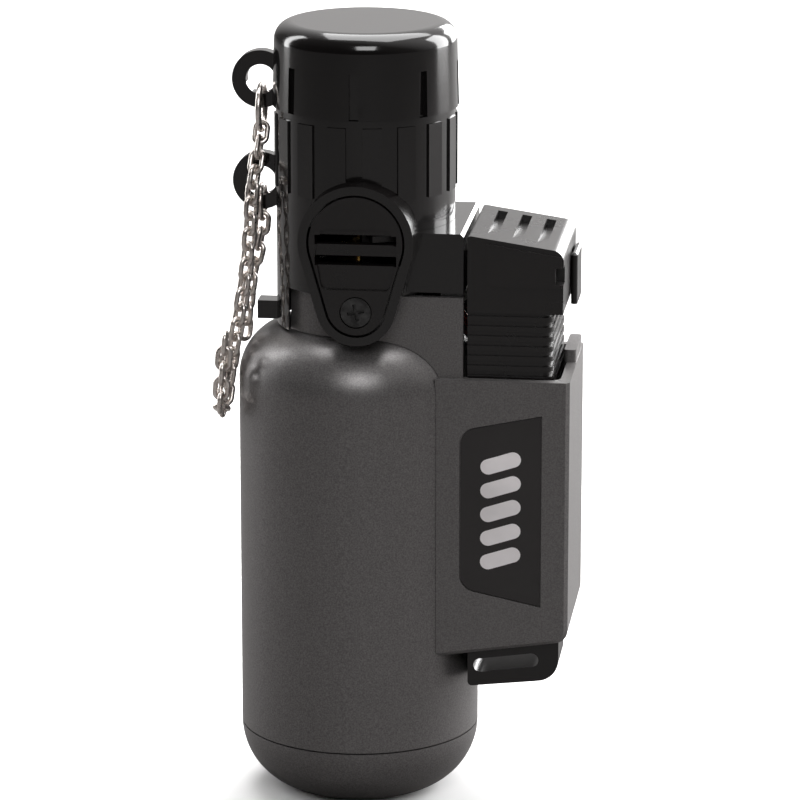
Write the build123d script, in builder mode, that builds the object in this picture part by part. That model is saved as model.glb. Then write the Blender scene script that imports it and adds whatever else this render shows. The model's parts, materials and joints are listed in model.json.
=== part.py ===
from build123d import *
import math
import os

# Pocket butane torch, millimetres.
# Origin on the tank's axis at the base plane, +Z up, -Y the front, +X the trigger side.

os.makedirs("parts", exist_ok=True)

# ---------------------------------------------------------------- driving dimensions

ON_BASE = (Align.CENTER, Align.CENTER, Align.MIN)
RUN_FIT = 0.05          # radial clearance of a running fit
CLEAR = 0.3             # room between pieces that move apart
SEAM = 0.1              # visible joint line between fixed covers

# tank
tank_radius = 16.25
tank_wall = 1.0
foot_radius = 7.05
seam_z = 9.2
shoulder_z = 58.0
neck_radius = 8.6
neck_top = 70.5
lip_top = 12.0

# fuel reservoir inside the tank
fuel_radius = 14.2
fuel_wall = 1.3
fuel_foot_z = 1.3
fuel_shoulder_z = 56.4
fuel_neck_radius = 7.2
fuel_neck_top = 70.0
valve_radius = 4.0

# filler valve
filler_radius = 3.5
filler_flange_radius = 4.1
port_radius = 2.0
port_mouth_z = 0.3
port_depth = 2.4
filler_stem_radius = 1.0
filler_chamber_radius = 2.6
filler_top = 12.5
filler_travel = 1.2

# side housing
box_left = 11.6
box_right = 29.5
box_half_depth = 11.3
box_top = 60.5
box_bottom_left = 21.8
box_bottom_right = 24.5
box_wall = 1.35
box_floor_z = 26.5
box_corner = 1.8
collar_radius = 10.3
collar_inner = 8.9
collar_left = -8.4
collar_top = 71.4
collar_right = 15.2
strip_outer_y = 10.4
strip_inner_y = 9.2
stop_top = 62.2
rear_screw_x = 5.0
rear_screw_z = 69.0
bracket_screw_x = 26.4
bracket_screw_y = -5.5
bracket_screw_radius = 0.6
bracket_screw_head = 0.9

# head
head_x = 0.95
head_radius = 12.0
head_inner = 10.8
head_bottom = 65.7
head_top = 95.2
spigot_inner = 9.8
spigot_top = 98.2
rib_count = 16
rib_width = 2.6
rib_depth = 0.2
rib_low = 84.4
rib_high = 94.2
loop_x = -13.05
loop_outer = 3.9
loop_inner = 2.0
loop_thickness = 1.9
middle_loop_z = 84.6
cap_loop_z = 98.4

# cap
cap_bottom = head_top + SEAM
cap_top = 106.5
cap_low_radius = 12.45
cap_high_radius = 12.15
cap_inner = 10.6
cap_roof = 1.4
cap_edge = 2.5
slit_count = 8
slit_width = 1.3
slit_depth = 0.8
slit_top = 101.4

# egg-shaped cover
egg_x = 1.5
egg_high_z = 79.5
egg_low_z = 71.0
egg_high_radius = 7.65
egg_low_radius = 5.3
egg_front = 15.2
egg_rim = 1.15
egg_gap = 0.3
cover_back = 13.3
slot_left = -3.9
slot_right = 6.9
upper_slot = (79.3, 80.6)
lower_slot = (76.5, 77.8)
screw_z = 70.2
screw_head_radius = 2.0
screw_radius = 1.1

# valve train
flow_tower_radius = 3.0
tower_top = 74.0
stem_radius = 0.9
rocker_x = 9.2
rocker_z = 75.5
rocker_half_width = 1.6
pin_radius = 0.8

# frame block and trigger
block_left = 7.5
block_right = 15.2
block_half_depth = 10.0
block_bottom = 72.0
block_top = 80.0
train_slot = 3.0        # half width of the passage for the rocker
trigger_left = 15.7
trigger_right = 28.4
trigger_half_depth = 9.75
trigger_bottom = 69.4
trigger_top_left = 79.8
trigger_top_right = 77.9
trigger_ceiling = 76.4
trigger_wall = 1.2
groove_width = 1.3
groove_depth = 1.0
groove_front = -6.5
groove_back = 7.6
skirt_right = 27.1
skirt_half_depth = 9.5
skirt_bottom = 50.0
skirt_corner = 1.4
skirt_groove = 0.3
skirt_ribs = 13
skirt_pitch = 1.35

# piezo
piezo_left = 17.8
piezo_right = 25.7
piezo_half_depth = 4.2
piezo_top = 50.5
plunger_left = 19.0
plunger_right = 24.5
plunger_half_depth = 3.0
plunger_bottom = 48.5
piezo_well_z = 36.0

# chain
wire_radius = 0.36
link_length = 3.6
link_width = 2.4
link_pitch = 2.08
# in a tight bend every second link turns about its own end wire
long_reach = link_length - 2 * wire_radius
short_reach = 2 * link_pitch - long_reach
cap_ring_radius = 3.0
cap_ring_wire = 0.42
body_ring_radius = 2.3
body_ring_wire = 0.38


# ---------------------------------------------------------------- shared shapes


def bottle(radius, foot, foot_z, wall_top, neck, neck_z):
    """A solid bottle on the Z axis: flat foot, round base, straight wall, round shoulder, neck."""
    with BuildPart() as body:
        with BuildSketch(Plane.XZ):
            with BuildLine():
                sole = Line((0, foot_z), (foot, foot_z))
                heel = JernArc(sole @ 1, (1, 0), radius - foot, 90)
                side = Line(heel @ 1, (radius, wall_top))
                shoulder = JernArc(side @ 1, (0, 1), radius - neck, 90)
                Polyline(shoulder @ 1, (neck, neck_z), (0, neck_z), (0, foot_z))
            make_face()
        revolve(axis=Axis.Z)
    return body.part


def coil(wire, radius, low, high, turns, x=0.0):
    """A compression spring standing on z = low."""
    height = high - low - 2 * wire
    with BuildPart() as spring:
        with BuildLine() as path:
            Helix(pitch=height / turns, height=height, radius=radius, center=(x, 0, low + wire))
        with BuildSketch(Plane(origin=path.line @ 0, z_dir=path.line % 0)):
            Circle(wire)
        sweep()
    return spring.part


def tube(outer, inner, low, high, x=0.0):
    """A straight tube on a vertical axis."""
    with BuildPart() as pipe:
        with Locations((x, 0, low)):
            Cylinder(outer, high - low, align=ON_BASE)
            Cylinder(inner, high - low, align=ON_BASE, mode=Mode.SUBTRACT)
    return pipe.part


def ring(center, mean_radius, wire, turn):
    """A wire ring that stands upright; turn swings it about the vertical."""
    with BuildPart() as hoop:
        with Locations(Location(center, (0, 90, turn))):
            Torus(mean_radius, wire)
    return hoop.part


def save(part, name):
    part.label = name
    export_step(part, f"parts/{name}.step")


# ---------------------------------------------------------------- tank

tank_outside = bottle(tank_radius, foot_radius, 0, shoulder_z, neck_radius, neck_top)
tank_inside = bottle(
    tank_radius - tank_wall,
    foot_radius,
    tank_wall,
    shoulder_z - tank_wall,
    neck_radius - tank_wall,
    neck_top + tank_wall,
)
tank_room = bottle(
    tank_radius + RUN_FIT, foot_radius, -tank_wall, shoulder_z + RUN_FIT, neck_radius, neck_top
)

with BuildPart() as tank_jacket:
    add(tank_outside)
    add(tank_inside, mode=Mode.SUBTRACT)
    split(bisect_by=Plane.XY.offset(seam_z + SEAM), keep=Keep.TOP)
save(tank_jacket.part, "tank_jacket")

with BuildPart() as base_cup:
    add(tank_outside)
    add(tank_inside, mode=Mode.SUBTRACT)
    split(bisect_by=Plane.XY.offset(seam_z - SEAM), keep=Keep.BOTTOM)
    lip_outer = tank_radius - tank_wall - RUN_FIT
    lip_inner = lip_outer - tank_wall + 2 * SEAM
    with BuildSketch(Plane.XY.offset(seam_z - 3 * SEAM)):
        Circle(tank_radius - tank_wall / 2)
        Circle(lip_inner, mode=Mode.SUBTRACT)
    extrude(amount=2 * SEAM)
    with BuildSketch(Plane.XY.offset(seam_z - SEAM)):
        Circle(lip_outer)
        Circle(lip_inner, mode=Mode.SUBTRACT)
    extrude(amount=lip_top - seam_z + SEAM)
    with Locations((0, 0, 0)):
        Cylinder(filler_flange_radius + SEAM, tank_wall * 3, mode=Mode.SUBTRACT)
save(base_cup.part, "base_cup")

fuel_outside = bottle(
    fuel_radius, foot_radius, fuel_foot_z, fuel_shoulder_z, fuel_neck_radius, fuel_neck_top
)
fuel_inside = bottle(
    fuel_radius - fuel_wall,
    foot_radius,
    fuel_foot_z + fuel_wall,
    fuel_shoulder_z - fuel_wall,
    fuel_neck_radius - fuel_wall,
    fuel_shoulder_z + fuel_radius - fuel_neck_radius - fuel_wall + SEAM,
)
with BuildPart() as fuel_reservoir:
    add(fuel_outside)
    add(fuel_inside, mode=Mode.SUBTRACT)
    with Locations((0, 0, fuel_shoulder_z)):
        Cylinder(valve_radius, fuel_neck_top - fuel_shoulder_z + 1, align=ON_BASE, mode=Mode.SUBTRACT)
    with Locations((0, 0, 0)):
        Cylinder(filler_radius, 2 * fuel_foot_z + 2 * fuel_wall, mode=Mode.SUBTRACT)
save(fuel_reservoir.part, "fuel_reservoir")

# ---------------------------------------------------------------- filler valve

flange_top = 0.9
stem_tip_z = port_mouth_z + port_depth + SEAM
filler_hole_top = 5.0
filler_seat_top = 5.6
stem_collar_top = 6.4
retainer_z = 11.2

with BuildPart() as filler_body:
    with Locations((0, 0, port_mouth_z)):
        Cylinder(filler_flange_radius, flange_top - port_mouth_z, align=ON_BASE)
        Cylinder(filler_radius, filler_top - port_mouth_z, align=ON_BASE)
        Cylinder(port_radius, port_depth, align=ON_BASE, mode=Mode.SUBTRACT)
        Cylinder(filler_stem_radius + RUN_FIT, filler_top, align=ON_BASE, mode=Mode.SUBTRACT)
    with Locations((0, 0, filler_hole_top)):
        Cylinder(filler_chamber_radius, filler_top, align=ON_BASE, mode=Mode.SUBTRACT)
save(filler_body.part, "filler_body")

with BuildPart() as filler_gasket:
    add(tube(filler_flange_radius, filler_radius, flange_top, fuel_foot_z))
save(filler_gasket.part, "filler_gasket")

with BuildPart() as filler_retainer:
    add(tube(filler_chamber_radius, stem_radius + SEAM, retainer_z, filler_top))
save(filler_retainer.part, "filler_retainer")

with BuildPart() as filler_stem:
    with Locations((0, 0, stem_tip_z)):
        Cylinder(filler_stem_radius, stem_collar_top - stem_tip_z, align=ON_BASE)
    with Locations((0, 0, filler_seat_top)):
        Cylinder(port_radius, stem_collar_top - filler_seat_top, align=ON_BASE)
    with Locations((0, 0, stem_collar_top)):
        Cylinder(stem_radius - SEAM, filler_travel, align=ON_BASE)
save(filler_stem.part, "filler_stem")

with BuildPart() as filler_stem_seal:
    add(tube(port_radius, filler_stem_radius, filler_hole_top + SEAM, filler_seat_top))
save(filler_stem_seal.part, "filler_stem_seal")

with BuildPart() as filler_spring:
    add(coil(0.2, 1.5, stem_collar_top, retainer_z, 6))
save(filler_spring.part, "filler_spring")

# ---------------------------------------------------------------- side housing

label_corners = ((14.9, 53.6), (25.9, 55.9), (25.9, 29.3), (14.9, 31.6))
with BuildPart() as side_housing:
    # collar and strips that hug the neck
    with BuildSketch(Plane.XY.offset(shoulder_z - 1)):
        Circle(collar_radius)
        with Locations((collar_right / 2, 0)):
            Rectangle(collar_right, 2 * strip_outer_y)
        Circle(collar_inner, mode=Mode.SUBTRACT)
        with Locations((collar_right / 2 + 1, 0)):
            Rectangle(collar_right + 2, 2 * strip_inner_y, mode=Mode.SUBTRACT)
        with Locations((collar_left - collar_radius, 0)):
            Rectangle(2 * collar_radius, 4 * collar_radius, mode=Mode.SUBTRACT)
    extrude(amount=collar_top - shoulder_z + 1)
    # box
    with BuildSketch(Plane.XZ.offset(-box_half_depth)) as box_side:
        with BuildLine():
            Polyline(
                (box_left, box_top),
                (box_right, box_top),
                (box_right, box_bottom_right),
                (box_left, box_bottom_left),
                close=True,
            )
        make_face()
        fillet(box_side.vertices().group_by(Axis.Y)[1], box_corner)
    extrude(amount=2 * box_half_depth)
    # raised stop on the box deck, behind the trigger
    with BuildSketch(Plane.XY.offset(box_top)):
        with Locations((box_right - 0.9, 4.5)):
            RectangleRounded(1.6, 9.0, 0.5)
    extrude(amount=stop_top - box_top)
    # hollow of the box, open at the top
    with BuildSketch(Plane.XY.offset(box_floor_z)):
        with Locations((21.5, 0)):
            RectangleRounded(2 * (box_right - box_wall - 21.5), 2 * (box_half_depth - box_wall), 1.5)
    extrude(amount=box_top - box_floor_z + 0.01, mode=Mode.SUBTRACT)
    # room for the tank
    add(tank_room, mode=Mode.SUBTRACT)
    # recess for the panel on the front
    with BuildSketch(Plane.XZ.offset(box_half_depth)) as label_recess:
        with BuildLine():
            Polyline(*label_corners, close=True)
        make_face()
        fillet(label_recess.vertices().group_by(Axis.X)[0], 2.4)
    extrude(amount=-0.45, mode=Mode.SUBTRACT)
    # holes of the cover screw and the rear screw
    with Locations(Location((egg_x, -collar_radius, screw_z), (90, 0, 0))):
        Cylinder(screw_radius, 6, mode=Mode.SUBTRACT)
    with Locations(Location((rear_screw_x, strip_outer_y, rear_screw_z), (90, 0, 0))):
        Cylinder(screw_radius, 6, mode=Mode.SUBTRACT)
    # hole of the bracket screw
    with Locations((bracket_screw_x, bracket_screw_y, 23.0)):
        Cylinder(bracket_screw_radius, 12, mode=Mode.SUBTRACT)
    # long edges of the box are slightly broken
    upright_edges = side_housing.edges().filter_by(Axis.Z)
    chamfer(upright_edges.filter_by_position(Axis.X, box_right - 0.01, box_right + 0.01), 0.5)
save(side_housing.part, "side_housing")

with BuildPart() as label_panel:
    with BuildSketch(Plane.XZ.offset(box_half_depth - 0.45)) as label_outline:
        with BuildLine():
            Polyline(*label_corners, close=True)
        make_face()
        fillet(label_outline.vertices().group_by(Axis.X)[0], 2.4)
        offset(amount=-0.12)
    extrude(amount=0.3)
save(label_panel.part, "label_panel")

bracket_front = 9.5
bracket_depth = 8.0
with BuildPart() as lanyard_bracket:
    with BuildSketch(Plane.XZ.offset(bracket_front)) as bracket_side:
        with BuildLine():
            Polyline((15.9, 22.35), (28.2, 24.2), (28.2, 18.7), (15.9, 17.3), close=True)
        make_face()
        fillet(bracket_side.vertices().sort_by(Axis.X)[-2:].sort_by(Axis.Y)[0], 3.0)
        fillet(bracket_side.vertices().sort_by(Axis.Y)[0], 0.6)
        with Locations(Location((21.1, 20.8), 8.0)):
            SlotOverall(8.9, 1.9, mode=Mode.SUBTRACT)
    extrude(amount=-bracket_depth)
    add(tank_room, mode=Mode.SUBTRACT)
    with Locations((bracket_screw_x, bracket_screw_y, 17.0)):
        Cylinder(bracket_screw_radius, 12, align=ON_BASE, mode=Mode.SUBTRACT)
        Cylinder(bracket_screw_head + SEAM, 3.2, align=ON_BASE, mode=Mode.SUBTRACT)
save(lanyard_bracket.part, "lanyard_bracket")

with BuildPart() as bracket_screw:
    with Locations((bracket_screw_x, bracket_screw_y, 19.2)):
        Cylinder(bracket_screw_head, 1.0, align=ON_BASE)
        Cylinder(bracket_screw_radius, 7.0, align=ON_BASE)
        Box(1.6, 0.4, 0.8, mode=Mode.SUBTRACT)
save(bracket_screw.part, "bracket_screw")

with BuildPart() as collar_screw:
    with Locations(Location((rear_screw_x, strip_outer_y, rear_screw_z), (-90, 0, 0))):
        Cylinder(1.9, 0.9, align=ON_BASE)
        Cylinder(screw_radius, 2.4)
        with Locations((0, 0, 0.9)):
            Box(2.4, 0.5, 0.9, mode=Mode.SUBTRACT)
            Box(0.5, 2.4, 0.9, mode=Mode.SUBTRACT)
save(collar_screw.part, "collar_screw")

# ---------------------------------------------------------------- head sleeve and cover


def egg(plane, inset):
    """Egg outline on a plane, as a sketch: two circles of different size and their common tangents."""
    with BuildSketch(plane) as outline:
        with Locations((egg_x, egg_high_z)):
            Circle(egg_high_radius - inset)
        with Locations((egg_x, egg_low_z)):
            Circle(egg_low_radius - inset)
        make_hull()
    return outline.sketch


egg_boss = extrude(egg(Plane.XZ, 0), amount=egg_front)
egg_pocket = extrude(egg(Plane.XZ.offset(cover_back), egg_rim), amount=egg_front)
cover_outline = egg(Plane.XZ.offset(cover_back), egg_rim + egg_gap)
cover_blank = extrude(cover_outline, amount=egg_front - cover_back - SEAM)

with BuildPart() as head_sleeve:
    with Locations((head_x, 0, head_bottom)):
        Cylinder(head_radius, head_top - head_bottom, align=ON_BASE)
    with Locations((head_x, 0, head_bottom)):
        Cylinder(head_inner, spigot_top - head_bottom, align=ON_BASE)
    # shallow upright ribs round the upper part
    with Locations((head_x, 0, (rib_low + rib_high) / 2)):
        with PolarLocations(head_radius - 1, rib_count, start_angle=11.25):
            Box(2 * (1 + rib_depth), rib_width, rib_high - rib_low)
    # front and sides are cut away over the collar; only the left side reaches down
    with Locations((collar_left - SEAM + 2 * head_radius, 0, head_bottom)):
        Box(4 * head_radius, 4 * head_radius, collar_top + SEAM - head_bottom,
            align=ON_BASE, mode=Mode.SUBTRACT)
    add(egg_boss)
    # tab at the lower left and the loop for the chain
    with Locations((-11.0, 0, head_bottom)):
        Box(5.3, 3.0, 2.5, align=ON_BASE)
    with Locations(Location((loop_x, 0, middle_loop_z), (90, 0, 0))):
        Cylinder(loop_outer, loop_thickness)
        Cylinder(loop_inner, 2 * loop_thickness, mode=Mode.SUBTRACT)
    # inside of the sleeve and of the spigot
    with Locations((head_x, 0, head_bottom - 1)):
        Cylinder(head_inner, 93.0 - head_bottom + 1, align=ON_BASE, mode=Mode.SUBTRACT)
        Cylinder(spigot_inner, 40, align=ON_BASE, mode=Mode.SUBTRACT)
    # the boss stands off the collar
    with Locations((0, 0, head_bottom - 1)):
        Cylinder(
            collar_radius + 2 * SEAM,
            collar_top + 2 * SEAM - head_bottom + 1,
            align=ON_BASE,
            mode=Mode.SUBTRACT,
        )
    with Locations((collar_right, 0, head_bottom - 1)):
        Box(2 * collar_right, 2 * (strip_outer_y + SEAM), collar_top + SEAM - head_bottom + 1,
            align=ON_BASE, mode=Mode.SUBTRACT)
    # pocket for the cover, window for the lever, hole for the screw
    add(egg_pocket, mode=Mode.SUBTRACT)
    with Locations((1.3, -11.5, 78.7)):
        Box(14.4, 7.0, 5.0, mode=Mode.SUBTRACT)
    with Locations(Location((egg_x, -11.0, screw_z), (90, 0, 0))):
        Cylinder(screw_radius, 8, mode=Mode.SUBTRACT)
    # passage for the rocker on the right
    with Locations((head_x + head_radius, 0, collar_top - 1)):
        Box(8, 2 * train_slot, 78.0 - collar_top + 1, align=ON_BASE, mode=Mode.SUBTRACT)
save(head_sleeve.part, "head_sleeve")

with BuildPart() as cover_plate:
    add(cover_blank)
    # thumb scoop between the slots, with a narrower apron below
    with BuildSketch(Plane.XZ.offset(egg_front - 0.6)) as scoop:
        with BuildLine():
            Polyline(
                (slot_left, 78.2),
                (slot_left + 0.9, 81.4),
                (slot_right - 0.9, 81.4),
                (slot_right, 78.2),
                (slot_right - 0.9, 73.2),
                (slot_left + 0.9, 73.2),
                close=True,
            )
        make_face()
        fillet(scoop.vertices(), 0.9)
    extrude(amount=1.0, mode=Mode.SUBTRACT)
    for low, high in (upper_slot, lower_slot):
        with Locations(((slot_left + slot_right) / 2, -egg_front, (low + high) / 2)):
            Box(slot_right - slot_left, 6.0, high - low, mode=Mode.SUBTRACT)
    with Locations(Location((egg_x, -egg_front, screw_z), (90, 0, 0))):
        Cylinder(screw_radius + SEAM, 8, mode=Mode.SUBTRACT)
        Cylinder(screw_head_radius + 0.15, 2.0, mode=Mode.SUBTRACT)
save(cover_plate.part, "cover_plate")

screw_seat = egg_front - 1.0
screw_end = collar_inner + SEAM
with BuildPart() as cover_screw:
    with Locations(Location((egg_x, -screw_seat, screw_z), (90, 0, 0))):
        Cylinder(screw_head_radius, 0.8, align=ON_BASE)
    with Locations(Location((egg_x, -screw_end, screw_z), (90, 0, 0))):
        Cylinder(screw_radius, screw_seat - screw_end, align=ON_BASE)
    slot_place = Location((egg_x, -screw_seat - 0.8, screw_z), (90, 0, 0))
    with Locations(slot_place * Location((0, 0, 0), (0, 0, 12))):
        Box(2.3, 0.45, 1.0, mode=Mode.SUBTRACT)
        Box(0.45, 2.3, 1.0, mode=Mode.SUBTRACT)
save(cover_screw.part, "cover_screw")

with BuildPart() as frame_block:
    with Locations(((block_left + block_right) / 2, 0, block_bottom)):
        Box(block_right - block_left, 2 * block_half_depth, block_top - block_bottom, align=ON_BASE)
    chamfer(frame_block.edges().filter_by(Axis.Y).sort_by(Axis.Z)[-2:], 0.4)
    # foot between the housing's strips
    for side in (-1, 1):
        with Locations((13.6, side * (strip_inner_y - SEAM - 0.6), 66.0)):
            Box(3.0, 1.2, 8.0, align=ON_BASE)
    with Locations((head_x, 0, 60)):
        Cylinder(head_radius + RUN_FIT, 40, align=ON_BASE, mode=Mode.SUBTRACT)
    with Locations((10, 0, 60)):
        Box(20, 2 * train_slot, 18, align=ON_BASE, mode=Mode.SUBTRACT)
    add(egg_boss, mode=Mode.SUBTRACT)
save(frame_block.part, "frame_block")

# ---------------------------------------------------------------- valve train

bridge_low = 70.5
bridge_high = 71.7

with BuildPart() as neck_gasket:
    add(tube(fuel_neck_radius, valve_radius, fuel_neck_top, bridge_low))
save(neck_gasket.part, "neck_gasket")

with BuildPart() as valve_bridge:
    with BuildSketch(Plane.XY.offset(bridge_low)):
        Circle(neck_radius - SEAM)
        with Locations((5.2, 0)):
            Rectangle(10.6, 8.4)
        Circle(valve_radius, mode=Mode.SUBTRACT)
    extrude(amount=bridge_high - bridge_low)
    # room under the rocker's tail
    with Locations((rocker_x + 1.6, 0, bridge_high)):
        Box(2.0, 4.4, 5.0, mode=Mode.SUBTRACT)
    with Locations((rocker_x, 3.6, bridge_high), (rocker_x, -3.6, bridge_high)):
        Box(2.6, 1.2, rocker_z + 1.5 - bridge_high, align=ON_BASE)
    with Locations(Location((rocker_x, 0, rocker_z), (90, 0, 0))):
        Cylinder(pin_radius, 12, mode=Mode.SUBTRACT)
save(valve_bridge.part, "valve_bridge")

with BuildPart() as rocker_pin:
    with Locations(Location((rocker_x, 0, rocker_z), (90, 0, 0))):
        Cylinder(pin_radius, 8.8)
save(rocker_pin.part, "rocker_pin")

valve_foot = 58.0
valve_seat = 65.0
spring_stop = 71.2
with BuildPart() as outlet_valve_body:
    with Locations((0, 0, valve_foot)):
        Cylinder(valve_radius, bridge_high - valve_foot, align=ON_BASE)
    with Locations((0, 0, bridge_high)):
        Cylinder(5.6, 1.0, align=ON_BASE)
        Cylinder(flow_tower_radius, tower_top - bridge_high, align=ON_BASE)
    with Locations((0, 0, valve_seat)):
        Cylinder(1.7, spring_stop - valve_seat, align=ON_BASE, mode=Mode.SUBTRACT)
    with Locations((0, 0, valve_foot)):
        Cylinder(0.8, tower_top, align=ON_BASE, mode=Mode.SUBTRACT)
    with Locations((0, 0, spring_stop)):
        Cylinder(stem_radius + RUN_FIT, 10, align=ON_BASE, mode=Mode.SUBTRACT)
save(outlet_valve_body.part, "outlet_valve_body")

stem_collar_low = 76.5
stem_top = 84.2
with BuildPart() as outlet_stem:
    with Locations((0, 0, valve_seat + 0.6)):
        Cylinder(stem_radius, stem_top - valve_seat - 0.6, align=ON_BASE)
        Cylinder(1.6, 0.8, align=ON_BASE)
    with Locations((0, 0, stem_collar_low)):
        Cylinder(2.0, 0.8, align=ON_BASE)
save(outlet_stem.part, "outlet_stem")

with BuildPart() as stem_pad:
    with Locations((0, 0, valve_seat)):
        Cylinder(1.6, 0.6, align=ON_BASE)
save(stem_pad.part, "stem_pad")

with BuildPart() as outlet_spring:
    add(coil(0.17, 1.35, valve_seat + 1.4, spring_stop, 6))
save(outlet_spring.part, "outlet_spring")

with BuildPart() as rocker:
    with BuildSketch(Plane.XZ.offset(-rocker_half_width)):
        with Locations((rocker_x, rocker_z)):
            Circle(1.7)
        with BuildLine():
            Polyline((-2.2, 74.9), (rocker_x, 74.6), (rocker_x, 76.4), (-2.2, 76.1), close=True)
        make_face()
        with Locations((14.3, 69.6)):
            Circle(0.6)
        with BuildLine():
            Polyline((8.0, 74.4), (13.9, 69.15), (14.75, 70.0), (10.4, 76.5), close=True)
        make_face()
    extrude(amount=2 * rocker_half_width)
    with Locations(Location((rocker_x, 0, rocker_z), (90, 0, 0))):
        Cylinder(pin_radius + RUN_FIT, 12, mode=Mode.SUBTRACT)
    # fork that straddles the stem
    with Locations((-1.1, 0, rocker_z)):
        Box(4.4, 2.3, 4, mode=Mode.SUBTRACT)
save(rocker.part, "rocker")

lever_angle = -69.3
lever_low = 79.5
lever_high = 80.35
with BuildPart() as flow_lever:
    with Locations((0, 0, bridge_high + 1.0 + SEAM)):
        Cylinder(5.0, 1.0, align=ON_BASE)
    with Locations(Location((0, 0, bridge_high + 1.0 + SEAM), (0, 0, lever_angle))):
        Box(8.2, 3.0, 1.0, align=(Align.MIN, Align.CENTER, Align.MIN))
    with Locations(Location((0, 0, bridge_high + 1.0 + SEAM), (0, 0, lever_angle)) * Location((7.2, 0, 0))):
        Box(1.0, 3.0, lever_high - bridge_high - 1.0 - SEAM, align=(Align.MIN, Align.CENTER, Align.MIN))
    with Locations(Location((0, 0, lever_low), (0, 0, lever_angle)) * Location((7.2, 0, 0))):
        Box(7.4, 3.2, lever_high - lever_low, align=(Align.MIN, Align.CENTER, Align.MIN))
    Cylinder(flow_tower_radius + RUN_FIT, 200, mode=Mode.SUBTRACT)
save(flow_lever.part, "flow_lever")

# ---------------------------------------------------------------- burner

deck_low = 86.0
deck_high = 87.6
jet_seat = 88.0
electrode_x = 6.9

with BuildPart() as head_deck:
    with Locations((head_x, 0, deck_low)):
        Cylinder(head_inner, deck_high - deck_low, align=ON_BASE)
        with PolarLocations(8.2, 6, start_angle=30):
            Cylinder(1.2, 10, mode=Mode.SUBTRACT)
    with Locations((0, 0, deck_low)):
        Cylinder(2.6, 10, align=ON_BASE, mode=Mode.SUBTRACT)
    with Locations((electrode_x, 0, deck_low)):
        Cylinder(1.3, 10, align=ON_BASE, mode=Mode.SUBTRACT)
save(head_deck.part, "head_deck")

with BuildPart() as jet_holder:
    with Locations((0, 0, 83.4)):
        Cylinder(2.6, 6.2, align=ON_BASE)
        Cylinder(stem_radius + RUN_FIT, 2.4, align=ON_BASE, mode=Mode.SUBTRACT)
        Cylinder(0.4, 6.2, align=ON_BASE, mode=Mode.SUBTRACT)
    with Locations((0, 0, jet_seat)):
        Cylinder(1.2, 3, align=ON_BASE, mode=Mode.SUBTRACT)
save(jet_holder.part, "jet_holder")

with BuildPart() as gas_jet:
    with Locations((0, 0, jet_seat)):
        Cylinder(1.2, 2.4, align=ON_BASE)
        Cylinder(0.15, 4, align=ON_BASE, mode=Mode.SUBTRACT)
    chamfer(gas_jet.edges().filter_by(GeomType.CIRCLE).group_by(Axis.Z)[-1].sort_by(SortBy.RADIUS)[-1], 0.4)
save(gas_jet.part, "gas_jet")

with BuildPart() as mixing_tube:
    add(tube(2.6, 1.7, 89.6, 94.0))
    with Locations((0, 0, 91.4)):
        Cylinder(0.6, 12, rotation=(90, 0, 0), mode=Mode.SUBTRACT)
        Cylinder(0.6, 12, rotation=(0, 90, 0), mode=Mode.SUBTRACT)
save(mixing_tube.part, "mixing_tube")

flame_low = 93.0
flame_top = 102.0
with BuildPart() as flame_tube:
    with BuildSketch(Plane.XZ):
        with BuildLine():
            Polyline(
                (2.6, flame_low),
                (3.2, flame_low),
                (4.2, 95.0),
                (4.2, flame_top),
                (3.6, flame_top),
                (3.6, 95.2),
                (2.6, 94.4),
                close=True,
            )
        make_face()
    revolve(axis=Axis.Z)
save(flame_tube.part, "flame_tube")

with BuildPart() as flame_holder:
    with Locations((0, 0, 98.0)):
        Cylinder(3.6, 0.8, align=ON_BASE)
        Cylinder(0.7, 5, mode=Mode.SUBTRACT)
        for circle_radius, count in ((1.5, 6), (2.7, 12)):
            with PolarLocations(circle_radius, count):
                Cylinder(0.35, 5, mode=Mode.SUBTRACT)
save(flame_holder.part, "flame_holder")

with BuildPart() as burner_plate:
    with Locations((head_x, 0, head_top)):
        Cylinder(spigot_inner, 1.2, align=ON_BASE)
        with PolarLocations(7.6, 8, start_angle=22.5):
            Cylinder(0.9, 10, mode=Mode.SUBTRACT)
    Cylinder(4.4, 300, mode=Mode.SUBTRACT)
    with Locations((electrode_x, 0, 90)):
        Cylinder(1.4, 20, mode=Mode.SUBTRACT)
save(burner_plate.part, "burner_plate")

with BuildPart() as insulator:
    add(tube(1.3, 0.4, 82.0, 97.4, electrode_x))
save(insulator.part, "insulator")

with BuildPart() as electrode:
    with BuildLine() as electrode_line:
        FilletPolyline((electrode_x, 0, 82.4), (electrode_x, 0, 103.0), (3.9, 0, 103.4), radius=1.2)
    with BuildSketch(Plane(origin=electrode_line.line @ 0, z_dir=electrode_line.line % 0)):
        Circle(0.4)
    sweep()
save(electrode.part, "electrode")

# ---------------------------------------------------------------- cap

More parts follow.
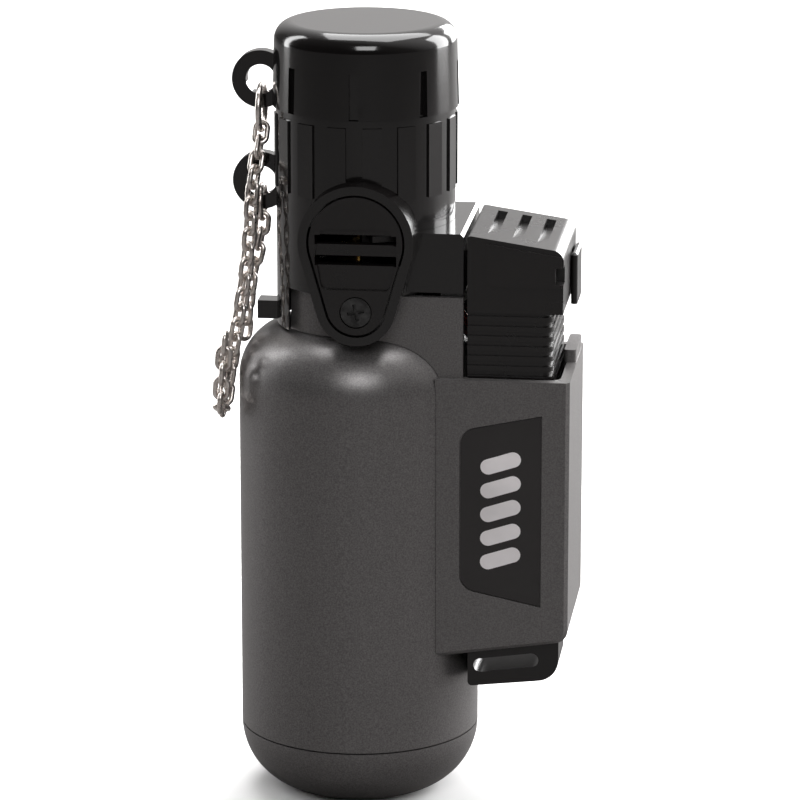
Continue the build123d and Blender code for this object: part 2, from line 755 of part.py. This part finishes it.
with BuildPart() as cap:
    with BuildSketch(Plane.XZ):
        with BuildLine():
            Polyline(
                (head_x, cap_bottom),
                (head_x + cap_low_radius, cap_bottom),
                (head_x + cap_high_radius, cap_top),
                (head_x, cap_top),
                close=True,
            )
        make_face()
    revolve(axis=Axis((head_x, 0, 0), (0, 0, 1)))
    fillet(cap.edges().filter_by(GeomType.CIRCLE).sort_by(Axis.Z)[-1], cap_edge)
    # shallow upright slits round the lower half
    with Locations((head_x, 0, cap_bottom)):
        with PolarLocations(cap_low_radius, slit_count, start_angle=0):
            Box(2 * slit_depth, slit_width, slit_top - cap_bottom,
                align=(Align.CENTER, Align.CENTER, Align.MIN), mode=Mode.SUBTRACT)
    with Locations(Location((loop_x, 0, cap_loop_z), (90, 0, 0))):
        Cylinder(loop_outer, loop_thickness)
        Cylinder(loop_inner, 2 * loop_thickness, mode=Mode.SUBTRACT)
    with Locations((head_x, 0, cap_bottom - 1)):
        Cylinder(head_inner + RUN_FIT, spigot_top + CLEAR - cap_bottom + 1, align=ON_BASE, mode=Mode.SUBTRACT)
        Cylinder(cap_inner, cap_top - cap_roof - cap_bottom + 1, align=ON_BASE, mode=Mode.SUBTRACT)
    # the loop hangs past the rim, clear of the sleeve
    with Locations((head_x, 0, cap_bottom - 4)):
        Cylinder(head_radius + rib_depth + SEAM, 4, align=ON_BASE, mode=Mode.SUBTRACT)
save(cap.part, "cap")

# ---------------------------------------------------------------- trigger

with BuildPart() as trigger_cap:
    with BuildSketch(Plane.XZ.offset(-trigger_half_depth)) as trigger_side:
        with BuildLine():
            Polyline(
                (trigger_left, trigger_bottom),
                (trigger_right, trigger_bottom),
                (trigger_right + 0.05, trigger_top_right),
                (trigger_left, trigger_top_left),
                close=True,
            )
        make_face()
        fillet(trigger_side.vertices().sort_by(Axis.Y)[2], 1.6)
        fillet(trigger_side.vertices().sort_by(Axis.Y)[-1], 0.4)
    extrude(amount=2 * trigger_half_depth)
    # proud hood on both sides, with a round lower corner
    with BuildSketch(Plane.XZ.offset(-trigger_half_depth - 0.35)) as hood:
        with BuildLine():
            Polyline(
                (18.2, 73.0),
                (28.2, 73.0),
                (28.2, 77.2),
                (18.2, 78.8),
                close=True,
            )
        make_face()
        fillet(hood.vertices().sort_by(Axis.X)[0:2].sort_by(Axis.Y)[0], 1.5)
    extrude(amount=2 * trigger_half_depth + 0.7)
    # grip grooves in the sloping top, deepest at the back
    for groove_x in (18.7, 22.0, 25.3):
        share = (groove_x - trigger_left) / (trigger_right - trigger_left)
        surface_z = trigger_top_left + share * (trigger_top_right - trigger_top_left)
        with BuildSketch(Plane.YZ.offset(groove_x - groove_width / 2)):
            with BuildLine():
                Polyline(
                    (groove_front, surface_z + SEAM),
                    (groove_back, surface_z - groove_depth),
                    (groove_back, surface_z + 1),
                    (groove_front, surface_z + 1),
                    close=True,
                )
            make_face()
        extrude(amount=groove_width, mode=Mode.SUBTRACT)
    # notch at the right end
    with Locations((28.3, -trigger_half_depth, 74.6)):
        Box(1.9, 4.0, 2.3, mode=Mode.SUBTRACT)
    # hollow for the plunger
    with Locations(((trigger_left + trigger_right) / 2, 0, trigger_bottom)):
        Box(
            trigger_right - trigger_left - 2 * trigger_wall,
            2 * (trigger_half_depth - trigger_wall),
            trigger_ceiling - trigger_bottom,
            align=ON_BASE,
            mode=Mode.SUBTRACT,
        )
    # slot for the safety catch
    with Locations((trigger_right, 4.5, 73.0)):
        Box(4.0, 2.6, 4.6, mode=Mode.SUBTRACT)
    # cam that swings the rocker
    with BuildSketch(Plane.XZ.offset(-1.8)):
        with BuildLine():
            Polyline((15.15, 69.4), (15.9, 69.4), (15.9, 76.0), (14.19, 76.0), close=True)
        make_face()
    extrude(amount=3.6)
save(trigger_cap.part, "trigger_cap")

with BuildPart() as ribbed_skirt:
    skirt_x = (trigger_left + skirt_right) / 2
    heights = [(skirt_bottom, trigger_bottom - skirt_bottom, skirt_groove)]
    heights += [
        (trigger_bottom - 1.2 - index * skirt_pitch, skirt_pitch / 2, 0) for index in range(skirt_ribs)
    ]
    for low, height, inset in heights:
        with BuildSketch(Plane.XY.offset(low)) as slice_outline:
            with Locations((skirt_x - inset / 2, 0)):
                Rectangle(skirt_right - trigger_left - inset, 2 * (skirt_half_depth - inset))
            fillet(slice_outline.vertices().group_by(Axis.X)[-1], skirt_corner)
        extrude(amount=height)
    with Locations((trigger_left, 0, skirt_bottom - 1)):
        Box(2 * (skirt_right - skirt_corner - trigger_left), 2 * (skirt_half_depth - skirt_corner),
            trigger_bottom - skirt_bottom + 2, align=ON_BASE, mode=Mode.SUBTRACT)
save(ribbed_skirt.part, "ribbed_skirt")

with BuildPart() as safety_catch:
    with BuildSketch(Plane.XY.offset(68.3)):
        with Locations((trigger_right + 0.55, 4.5)):
            RectangleRounded(0.9, 7.0, 0.4)
    extrude(amount=7.0)
    with Locations((trigger_right - 0.4, 4.5, 72.2)):
        Box(1.2, 2.0, 2.4)
    chamfer(safety_catch.edges().group_by(Axis.Z)[-1].sort_by(Axis.X)[-1], 0.3)
save(safety_catch.part, "safety_catch")

# ---------------------------------------------------------------- piezo igniter

piezo_x = (plunger_left + plunger_right) / 2
with BuildPart() as piezo_case:
    with BuildSketch(Plane.XY.offset(box_floor_z)):
        with Locations(((piezo_left + piezo_right) / 2, 0)):
            RectangleRounded(piezo_right - piezo_left, 2 * piezo_half_depth, 0.8)
    extrude(amount=piezo_top - box_floor_z)
    with Locations((piezo_x, 0, piezo_well_z)):
        Box(plunger_right - plunger_left + 2 * RUN_FIT, 2 * (plunger_half_depth + RUN_FIT), 30,
            align=ON_BASE, mode=Mode.SUBTRACT)
save(piezo_case.part, "piezo_case")

with BuildPart() as piezo_plunger:
    with Locations((piezo_x, 0, plunger_bottom)):
        Box(
            plunger_right - plunger_left,
            2 * plunger_half_depth,
            trigger_ceiling - plunger_bottom,
            align=ON_BASE,
        )
    chamfer(piezo_plunger.edges().group_by(Axis.Z)[0], 0.4)
save(piezo_plunger.part, "piezo_plunger")

with BuildPart() as piezo_spring:
    add(coil(0.35, 2.1, piezo_well_z, plunger_bottom, 7, piezo_x))
save(piezo_spring.part, "piezo_spring")

wire_route = [
    (19.5, piezo_half_depth, 41.5),
    (19.0, 6.4, 43.6),
    (17.6, 7.2, 49.5),
    (16.5, 7.2, 57.5),
    (14.2, 7.0, 64.3),
    (9.2, 5.4, 70.2),
    (8.6, 5.5, 76.8),
    (7.3, 1.4, 79.4),
    (electrode_x, 0.1, 82.0),
]


def arc_radii(points):
    """The largest tidy arc at each corner of a route."""
    radii = []
    for before, here, after in zip(points, points[1:], points[2:]):
        first = Vector(*here) - Vector(*before)
        second = Vector(*after) - Vector(*here)
        half_turn = math.radians(first.get_angle(second)) / 2
        radii.append(0.45 * min(first.length, second.length) / math.tan(half_turn))
    return radii


with BuildPart() as ignition_wire:
    with BuildLine() as wire_line:
        FilletPolyline(*wire_route, radius=arc_radii(wire_route))
    with BuildSketch(Plane(origin=wire_line.line @ 0, z_dir=wire_line.line % 0)):
        Circle(0.5)
    sweep()
save(ignition_wire.part, "ignition_wire")

# ---------------------------------------------------------------- keeper chain

straight = link_length - link_width
bend = link_width / 2 - wire_radius
low_end = -straight / 2
high_end = straight / 2
with BuildPart() as link:
    with BuildLine() as link_line:
        Line((bend, 0, low_end), (bend, 0, high_end))
        ThreePointArc((bend, 0, high_end), (0, 0, high_end + bend), (-bend, 0, high_end))
        Line((-bend, 0, high_end), (-bend, 0, low_end))
        ThreePointArc((-bend, 0, low_end), (0, 0, low_end - bend), (bend, 0, low_end))
    with BuildSketch(Plane(origin=(bend, 0, low_end), z_dir=(0, 0, 1))):
        Circle(wire_radius)
    sweep()


def strand(points, twist, side, reaches):
    """Places of the links: joints laid on a smooth line, and each link along its chord."""
    line = Edge.make_spline([Vector(*point) for point in points])
    steps = 2000
    joints = [line.position_at(0)]
    for step in range(steps):
        here = line.position_at((step + 1) / steps)
        reach = reaches[(len(joints) - 1) % 2]
        if (here - joints[-1]).length >= reach:
            joints.append(here)
    places = []
    for index, (high, low) in enumerate(zip(joints, joints[1:])):
        along = (low - high).normalized()
        across = side.cross(along).normalized()
        frame = Plane(origin=(high + low) / 2, x_dir=across, z_dir=along)
        turn = 90 * index + min(twist * index, 45)
        places.append(frame.location * Location((0, 0, 0), (0, 0, turn)))
    return places


def links(places):
    """Links of one strand, each a separate closed piece of wire."""
    with BuildPart() as chain:
        for place in places:
            with Locations(place):
                add(link.part)
    return chain.part


cap_strand_route = [
    (-13.05, -0.25, 92.05),
    (-13.15, -1.4, 90.1),
    (-13.35, -2.65, 88.1),
    (-13.6, -3.45, 86.0),
    (-13.85, -3.95, 83.5),
    (-14.1, -4.2, 79.5),
    (-14.4, -4.2, 75.9),
    (-15.1, -4.4, 70.3),
    (-16.0, -4.8, 64.7),
    (-16.9, -5.0, 59.2),
    (-17.2, -5.1, 56.9),
]
body_strand_route = [
    (-13.05, 0.0, 79.6),
    (-13.2, -0.2, 77.6),
    (-13.8, -0.8, 74.5),
    (-14.7, -1.3, 70.3),
    (-15.1, -1.5, 66.5),
    (-15.4, -1.6, 63.2),
]
bight_route = [
    (-17.6, -2.4, 62.2),
    (-17.75, -2.4, 56.5),
    (-17.9, -3.2, 54.5),
    (-18.0, -5.2, 53.7),
    (-17.9, -7.2, 54.5),
    (-17.7, -8.0, 56.5),
    (-17.35, -8.1, 60.5),
    (-17.0, -8.1, 64.5),
]

with BuildPart() as cap_ring:
    add(ring((loop_x, -0.3, 94.5), cap_ring_radius, cap_ring_wire, 45))
save(cap_ring.part, "cap_ring")

with BuildPart() as body_ring:
    add(ring((loop_x, 0, middle_loop_z - 3.1), body_ring_radius, body_ring_wire, 0))
save(body_ring.part, "body_ring")

even_reaches = (link_pitch, link_pitch)
for name, route, twist, side, reaches in (
    ("chain_cap_strand", cap_strand_route, 9, Vector(0, 1, 0), even_reaches),
    ("chain_body_strand", body_strand_route, 9, Vector(0, 1, 0), even_reaches),
    ("chain_bight", bight_route, 0, Vector(1, 0, 0), (short_reach, long_reach)),
):
    save(links(strand(route, twist, side, reaches)), name)
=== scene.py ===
import bpy
import bmesh
import json
import math
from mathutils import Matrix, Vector


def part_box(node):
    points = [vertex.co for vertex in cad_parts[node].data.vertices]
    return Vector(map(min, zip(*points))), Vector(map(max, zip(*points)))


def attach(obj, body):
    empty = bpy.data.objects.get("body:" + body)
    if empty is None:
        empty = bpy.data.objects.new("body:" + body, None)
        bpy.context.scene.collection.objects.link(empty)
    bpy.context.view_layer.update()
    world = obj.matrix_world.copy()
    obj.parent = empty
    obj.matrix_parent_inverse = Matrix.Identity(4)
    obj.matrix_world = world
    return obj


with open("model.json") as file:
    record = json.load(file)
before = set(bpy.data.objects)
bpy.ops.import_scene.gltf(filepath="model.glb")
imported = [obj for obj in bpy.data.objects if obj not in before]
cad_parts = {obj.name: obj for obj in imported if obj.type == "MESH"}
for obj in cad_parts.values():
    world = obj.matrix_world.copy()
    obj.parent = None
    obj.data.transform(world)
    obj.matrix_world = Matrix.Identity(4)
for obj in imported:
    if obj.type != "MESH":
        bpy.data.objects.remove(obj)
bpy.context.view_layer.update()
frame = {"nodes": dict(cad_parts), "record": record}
scene = bpy.context.scene
MM = 0.001

# ---------------------------------------------------------------- camera

CAMERA_AZIMUTH = math.radians(7.0)
CAMERA_ELEVATION = math.radians(15.0)
CAMERA_DISTANCE = 0.601
CAMERA_LENS = 199.35
AIM_RIGHT = 5.5 * MM
AIM_HEIGHT = 54.3 * MM


def make_camera():
    data = bpy.data.cameras.new("camera")
    data.lens = CAMERA_LENS
    data.sensor_width = 36.0
    data.clip_start = 0.01
    data.clip_end = 20.0
    camera = bpy.data.objects.new("camera", data)
    scene.collection.objects.link(camera)
    aim = Vector((
        AIM_RIGHT * math.cos(CAMERA_AZIMUTH),
        AIM_RIGHT * math.sin(CAMERA_AZIMUTH),
        AIM_HEIGHT,
    ))
    back = Vector((
        math.sin(CAMERA_AZIMUTH) * math.cos(CAMERA_ELEVATION),
        -math.cos(CAMERA_AZIMUTH) * math.cos(CAMERA_ELEVATION),
        math.sin(CAMERA_ELEVATION),
    ))
    camera.location = aim + CAMERA_DISTANCE * back
    camera.rotation_mode = "QUATERNION"
    camera.rotation_quaternion = (-back).to_track_quat("-Z", "Y")
    scene.camera = camera


make_camera()

# ---------------------------------------------------------------- light and floor


def area_light(name, place, aim, size, power):
    """A rectangular lamp at place that shines towards aim."""
    data = bpy.data.lights.new(name, "AREA")
    data.shape = "RECTANGLE"
    data.size, data.size_y = size
    data.energy = power
    light = bpy.data.objects.new(name, data)
    scene.collection.objects.link(light)
    light.location = place
    light.rotation_mode = "QUATERNION"
    light.rotation_quaternion = (Vector(aim) - Vector(place)).to_track_quat("-Z", "Y")


# the room is bright above, behind and to the right of the torch
ROOM_BRIGHT_SIDE = (0.42, 0.58, 0.70)


def make_world():
    world = bpy.data.worlds.new("studio")
    scene.world = world
    world.use_nodes = True
    tree = world.node_tree
    tree.nodes.clear()
    out = tree.nodes.new("ShaderNodeOutputWorld")
    seen = tree.nodes.new("ShaderNodeBackground")
    seen.inputs["Color"].default_value = (1.0, 1.0, 1.0, 1)
    seen.inputs["Strength"].default_value = 1.0
    lit = tree.nodes.new("ShaderNodeBackground")
    lit.inputs["Strength"].default_value = 1.0
    way = tree.nodes.new("ShaderNodeTexCoord")
    toward = tree.nodes.new("ShaderNodeVectorMath")
    toward.operation = "DOT_PRODUCT"
    toward.inputs[1].default_value = ROOM_BRIGHT_SIDE
    half = tree.nodes.new("ShaderNodeMath")
    half.operation = "MULTIPLY_ADD"
    half.inputs[1].default_value = 0.5
    half.inputs[2].default_value = 0.5
    ramp = tree.nodes.new("ShaderNodeValToRGB")
    ramp.color_ramp.elements[0].position = 0.30
    ramp.color_ramp.elements[0].color = (0.030, 0.028, 0.027, 1)
    ramp.color_ramp.elements[1].position = 0.90
    ramp.color_ramp.elements[1].color = (1.0, 0.98, 0.97, 1)
    middle = ramp.color_ramp.elements.new(0.62)
    middle.color = (0.11, 0.105, 0.102, 1)
    path = tree.nodes.new("ShaderNodeLightPath")
    mix = tree.nodes.new("ShaderNodeMixShader")
    link = tree.links.new
    link(way.outputs["Generated"], toward.inputs[0])
    link(toward.outputs["Value"], half.inputs[0])
    link(half.outputs[0], ramp.inputs[0])
    link(ramp.outputs["Color"], lit.inputs["Color"])
    link(path.outputs["Is Camera Ray"], mix.inputs[0])
    link(lit.outputs[0], mix.inputs[1])
    link(seen.outputs[0], mix.inputs[2])
    link(mix.outputs[0], out.inputs["Surface"])


FLOOR_HALF_WIDTH = 3.0
PAPER_WHITE = (0.86, 0.86, 0.86, 1)
PAPER_REFLECTED = (0.13, 0.125, 0.123, 1)
MIX_FACTOR, MIX_FIRST, MIX_SECOND, MIX_RESULT = 0, 6, 7, 2


def make_floor():
    mesh = bpy.data.meshes.new("floor")
    half = FLOOR_HALF_WIDTH
    corners = [(-half, -half, 0), (half, -half, 0), (half, half, 0), (-half, half, 0)]
    mesh.from_pydata(corners, [], [(0, 1, 2, 3)])
    floor = bpy.data.objects.new("floor", mesh)
    scene.collection.objects.link(floor)
    material = bpy.data.materials.new("floor_paper")
    material.use_nodes = True
    shader = material.node_tree.nodes["Principled BSDF"]
    shader.inputs["Roughness"].default_value = 0.8
    # white paper to the camera, but a dim reflection in the glossy black parts
    path = material.node_tree.nodes.new("ShaderNodeLightPath")
    tone = material.node_tree.nodes.new("ShaderNodeMix")
    tone.data_type = "RGBA"
    tone.inputs[MIX_FIRST].default_value = PAPER_REFLECTED
    tone.inputs[MIX_SECOND].default_value = PAPER_WHITE
    material.node_tree.links.new(path.outputs["Is Camera Ray"], tone.inputs[MIX_FACTOR])
    material.node_tree.links.new(tone.outputs[MIX_RESULT], shader.inputs["Base Color"])
    mesh.materials.append(material)


make_world()
make_floor()
scene.view_settings.view_transform = "Standard"

LIGHT_AIM = (0.0, 0.0, 0.06)
LIGHTS = (
    # name, place, aim, size, watts
    ("top_softbox", (0.05, 0.20, 0.75), LIGHT_AIM, (0.7, 0.7), 8.5),
    ("left_softbox", (-0.60, 0.20, 0.28), LIGHT_AIM, (0.14, 0.7), 2.4),
    ("right_softbox", (0.57, 0.32, 0.22), LIGHT_AIM, (0.30, 0.7), 6.0),
    ("back_softbox", (0.36, 0.90, 0.22), (0.0, 0.0, 0.05), (0.5, 0.6), 9.0),
    ("front_fill", (0.12, -0.85, 0.62), LIGHT_AIM, (0.4, 0.4), 3.2),
)
for light in LIGHTS:
    area_light(*light)

# ---------------------------------------------------------------- materials


class Recipe:
    """A material under construction: the shader, and helpers that add nodes."""

    def __init__(self, name):
        self.material = bpy.data.materials.new(name)
        self.material.use_nodes = True
        self.tree = self.material.node_tree
        self.shader = self.tree.nodes["Principled BSDF"]
        self.place = self.tree.nodes.new("ShaderNodeTexCoord").outputs["Object"]

    def set(self, **values):
        for key, value in values.items():
            self.shader.inputs[key.replace("_", " ")].default_value = value

    def noise(self, scale, detail=4.0, stretch=(1, 1, 1)):
        mapping = self.tree.nodes.new("ShaderNodeMapping")
        mapping.inputs["Scale"].default_value = stretch
        node = self.tree.nodes.new("ShaderNodeTexNoise")
        node.inputs["Scale"].default_value = scale
        node.inputs["Detail"].default_value = detail
        self.tree.links.new(self.place, mapping.inputs["Vector"])
        self.tree.links.new(mapping.outputs[0], node.inputs["Vector"])
        return node.outputs["Fac"]

    def ramp(self, source, low, high, low_at=0.35, high_at=0.65):
        node = self.tree.nodes.new("ShaderNodeValToRGB")
        node.color_ramp.elements[0].position = low_at
        node.color_ramp.elements[1].position = high_at
        node.color_ramp.elements[0].color = (*low, 1)
        node.color_ramp.elements[1].color = (*high, 1)
        self.tree.links.new(source, node.inputs[0])
        return node.outputs["Color"]

    def colour(self, source):
        self.tree.links.new(source, self.shader.inputs["Base Color"])

    def roughness(self, source, low, high):
        node = self.tree.nodes.new("ShaderNodeMapRange")
        node.inputs["To Min"].default_value = low
        node.inputs["To Max"].default_value = high
        self.tree.links.new(source, node.inputs["Value"])
        self.tree.links.new(node.outputs[0], self.shader.inputs["Roughness"])

    def bump(self, source, depth, strength=1.0):
        node = self.tree.nodes.new("ShaderNodeBump")
        node.inputs["Distance"].default_value = depth
        node.inputs["Strength"].default_value = strength
        self.tree.links.new(source, node.inputs["Height"])
        self.tree.links.new(node.outputs[0], self.shader.inputs["Normal"])


def paint(name, dark, light, metallic, rough):
    """Metallic lacquer: fine flakes that vary colour and gloss."""
    recipe = Recipe(name)
    flakes = recipe.noise(5200.0, 2.0)
    clouds = recipe.noise(60.0, 3.0)
    recipe.colour(recipe.ramp(flakes, dark, light, 0.30, 0.70))
    recipe.roughness(clouds, rough - 0.03, rough + 0.04)
    recipe.bump(flakes, 0.00002, 0.35)
    recipe.set(Metallic=metallic, Coat_Weight=0.12, Coat_Roughness=0.25)
    return recipe.material


def plastic(name, tone, rough, coat=0.0, grain=1400.0, depth=0.00001):
    """Moulded plastic: faint unevenness from the mould, handling marks in the gloss."""
    recipe = Recipe(name)
    fine = recipe.noise(grain, 3.0)
    marks = recipe.noise(90.0, 5.0)
    bright = tuple(min(1.0, value * 1.25) for value in tone)
    recipe.colour(recipe.ramp(marks, tone, bright))
    recipe.roughness(marks, rough - 0.02, rough + 0.06)
    recipe.bump(fine, depth, 0.3)
    recipe.set(Coat_Weight=coat, Coat_Roughness=0.06)
    return recipe.material


def metal(name, dark, light, rough, stretch=(1, 1, 1), scale=900.0):
    recipe = Recipe(name)
    lines = recipe.noise(scale, 4.0, stretch)
    recipe.colour(recipe.ramp(lines, dark, light))
    recipe.roughness(lines, rough - 0.06, rough + 0.10)
    recipe.bump(lines, 0.00001, 0.4)
    recipe.set(Metallic=1.0)
    return recipe.material


MATERIALS = {
    "label_ink": plastic("label_ink", (0.80, 0.77, 0.78), 0.38, 0.0, 2600.0, 0.00001),
    "tank_paint": paint("tank_paint", (0.115, 0.110, 0.110), (0.200, 0.192, 0.191), 0.60, 0.36),
    "housing_paint": paint(
        "housing_paint", (0.105, 0.100, 0.100), (0.170, 0.163, 0.162), 0.40, 0.38
    ),
    "clear_nylon": plastic("clear_nylon", (0.62, 0.60, 0.55), 0.45),
    "brass": metal("brass", (0.62, 0.44, 0.18), (0.80, 0.60, 0.30), 0.28, (1, 1, 12)),
    "rubber": plastic("rubber", (0.012, 0.012, 0.012), 0.75, 0.0, 2500.0, 0.00003),
    "label_black": plastic("label_black", (0.020, 0.018, 0.018), 0.34, 0.0, 2600.0, 0.00001),
    "black_plastic": plastic("black_plastic", (0.006, 0.005, 0.005), 0.30, 0.0, 2600.0, 0.00002),
    "dark_screw": metal("dark_screw", (0.05, 0.05, 0.05), (0.10, 0.10, 0.10), 0.38),
    "gloss_black": plastic("gloss_black", (0.004, 0.0035, 0.0035), 0.11, 0.3),
    "satin_black": plastic("satin_black", (0.006, 0.005, 0.005), 0.26, 0.1, 2600.0, 0.00002),
    "steel": metal("steel", (0.42, 0.41, 0.40), (0.60, 0.59, 0.57), 0.30, (1, 1, 8)),
    "spring_steel": metal("spring_steel", (0.38, 0.38, 0.39), (0.52, 0.52, 0.53), 0.32),
    "ceramic": plastic("ceramic", (0.78, 0.76, 0.72), 0.25, 0.4),
    "wire_jacket": plastic("wire_jacket", (0.40, 0.03, 0.02), 0.40),
    "ivory_plastic": plastic("ivory_plastic", (0.62, 0.57, 0.46), 0.42),
    "nickel": metal("nickel", (0.66, 0.60, 0.56), (0.88, 0.83, 0.79), 0.27, (1, 1, 1), 1500.0),
}


def dress(name, slot):
    """Gives a carried-over CAD node its material."""
    mesh = frame["nodes"][name].data
    mesh.materials.clear()
    mesh.materials.append(MATERIALS[slot])


for subpart in frame["record"]["subparts"]:
    dress(subpart["node"], subpart["material_slot"])

# ---------------------------------------------------------------- printed mark

INK_HEIGHT = 0.05 * MM
BAR_COUNT = 5
BAR_LENGTH = 5.6 * MM
BAR_WIDTH = 2.1 * MM
BAR_STEP = 3.3 * MM
BAR_LEAN = math.radians(72.0)
BAR_END_POINTS = 12


def bar_outline(length, width):
    """A bar with round ends, standing upright about the origin."""
    points = []
    for end in (1, -1):
        for step in range(BAR_END_POINTS + 1):
            angle = math.pi * step / BAR_END_POINTS + (0 if end > 0 else math.pi)
            across = 0.5 * width * math.cos(angle)
            along = end * 0.5 * (length - width) + 0.5 * width * math.sin(angle)
            points.append((across, along))
    return points


def make_label_mark():
    """A column of leaning bars printed on the panel: a plain mark that stands for no word."""
    low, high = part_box("label_panel")
    centre_x = 0.5 * (low[0] + high[0])
    centre_z = 0.5 * (low[2] + high[2])
    front = low[1]
    mesh = bmesh.new()
    for index in range(BAR_COUNT):
        rise = (index - 0.5 * (BAR_COUNT - 1)) * BAR_STEP
        corners = []
        for across, along in bar_outline(BAR_LENGTH, BAR_WIDTH):
            x = centre_x + across * math.cos(BAR_LEAN) + along * math.sin(BAR_LEAN)
            z = centre_z + rise - across * math.sin(BAR_LEAN) + along * math.cos(BAR_LEAN)
            corners.append(mesh.verts.new((x, front, z)))
        face = mesh.faces.new(corners)
        grown = bmesh.ops.extrude_face_region(mesh, geom=[face])
        raised = [item for item in grown["geom"] if isinstance(item, bmesh.types.BMVert)]
        bmesh.ops.translate(mesh, verts=raised, vec=(0, -INK_HEIGHT, 0))
    bmesh.ops.recalc_face_normals(mesh, faces=mesh.faces)
    data = bpy.data.meshes.new("label_mark")
    mesh.to_mesh(data)
    mesh.free()
    data.materials.append(MATERIALS["label_ink"])
    mark = bpy.data.objects.new("label_mark", data)
    scene.collection.objects.link(mark)
    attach(mark, "root")


make_label_mark()
